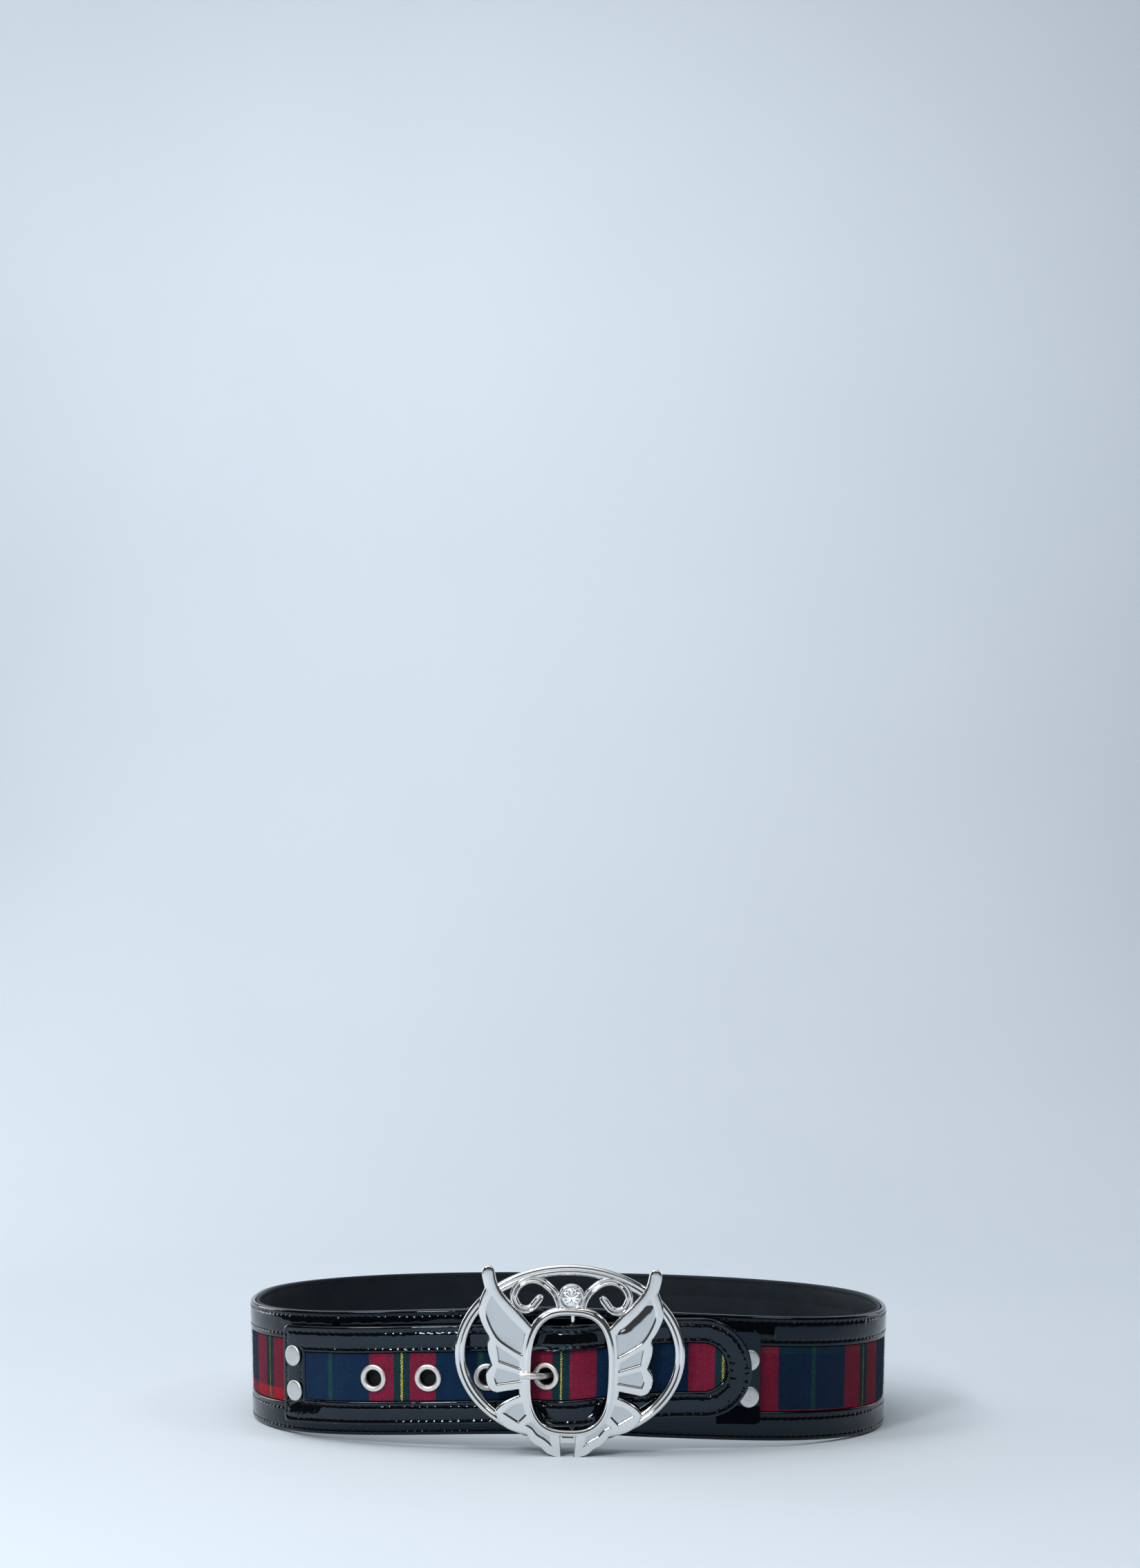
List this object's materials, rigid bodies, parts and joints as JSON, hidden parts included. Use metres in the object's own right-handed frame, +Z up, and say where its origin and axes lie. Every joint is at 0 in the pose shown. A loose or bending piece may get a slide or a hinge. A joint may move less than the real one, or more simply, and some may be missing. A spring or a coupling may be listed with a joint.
{
  "type": "tartan belt",
  "caption": "Wide tartan and patent leather belt fastened in a loop, with a narrow front strap, eyelets and a pierced butterfly buckle set with a crystal.",
  "frame": {"origin": "on the surface that the belt stands on, at the middle of its footprint", "axes": "+Z up, +X to the right along the long way of the loop with the buckle facing -Y"},
  "size_m": [0.282, 0.2228, 0.0761],
  "materials": {
    "patent_leather": "glossy black patent",
    "lining_leather": "matte black",
    "tartan_cloth": "wool twill in a navy, green, red and yellow tartan",
    "polished_silver": "polished, silver coloured",
    "crystal": "clear, faceted"
  },
  "bodies": {
    "root": {"lining": "lining_leather", "strap_backing": "lining_leather", "tartan_panel": "tartan_cloth", "strap_tartan": "tartan_cloth", "upper_border": "patent_leather", "lower_border": "patent_leather", "strap_border": "patent_leather", "chape": "patent_leather", "buckle_frame": "polished_silver", "prong": "polished_silver", "crystal": "crystal", "eyelet_1": "polished_silver", "eyelet_2": "polished_silver", "eyelet_3": "polished_silver", "eyelet_4": "polished_silver", "rivet_left_lower": "polished_silver", "rivet_left_upper": "polished_silver", "rivet_right_lower": "polished_silver", "rivet_right_upper": "polished_silver"}
  },
  "joints": []
}
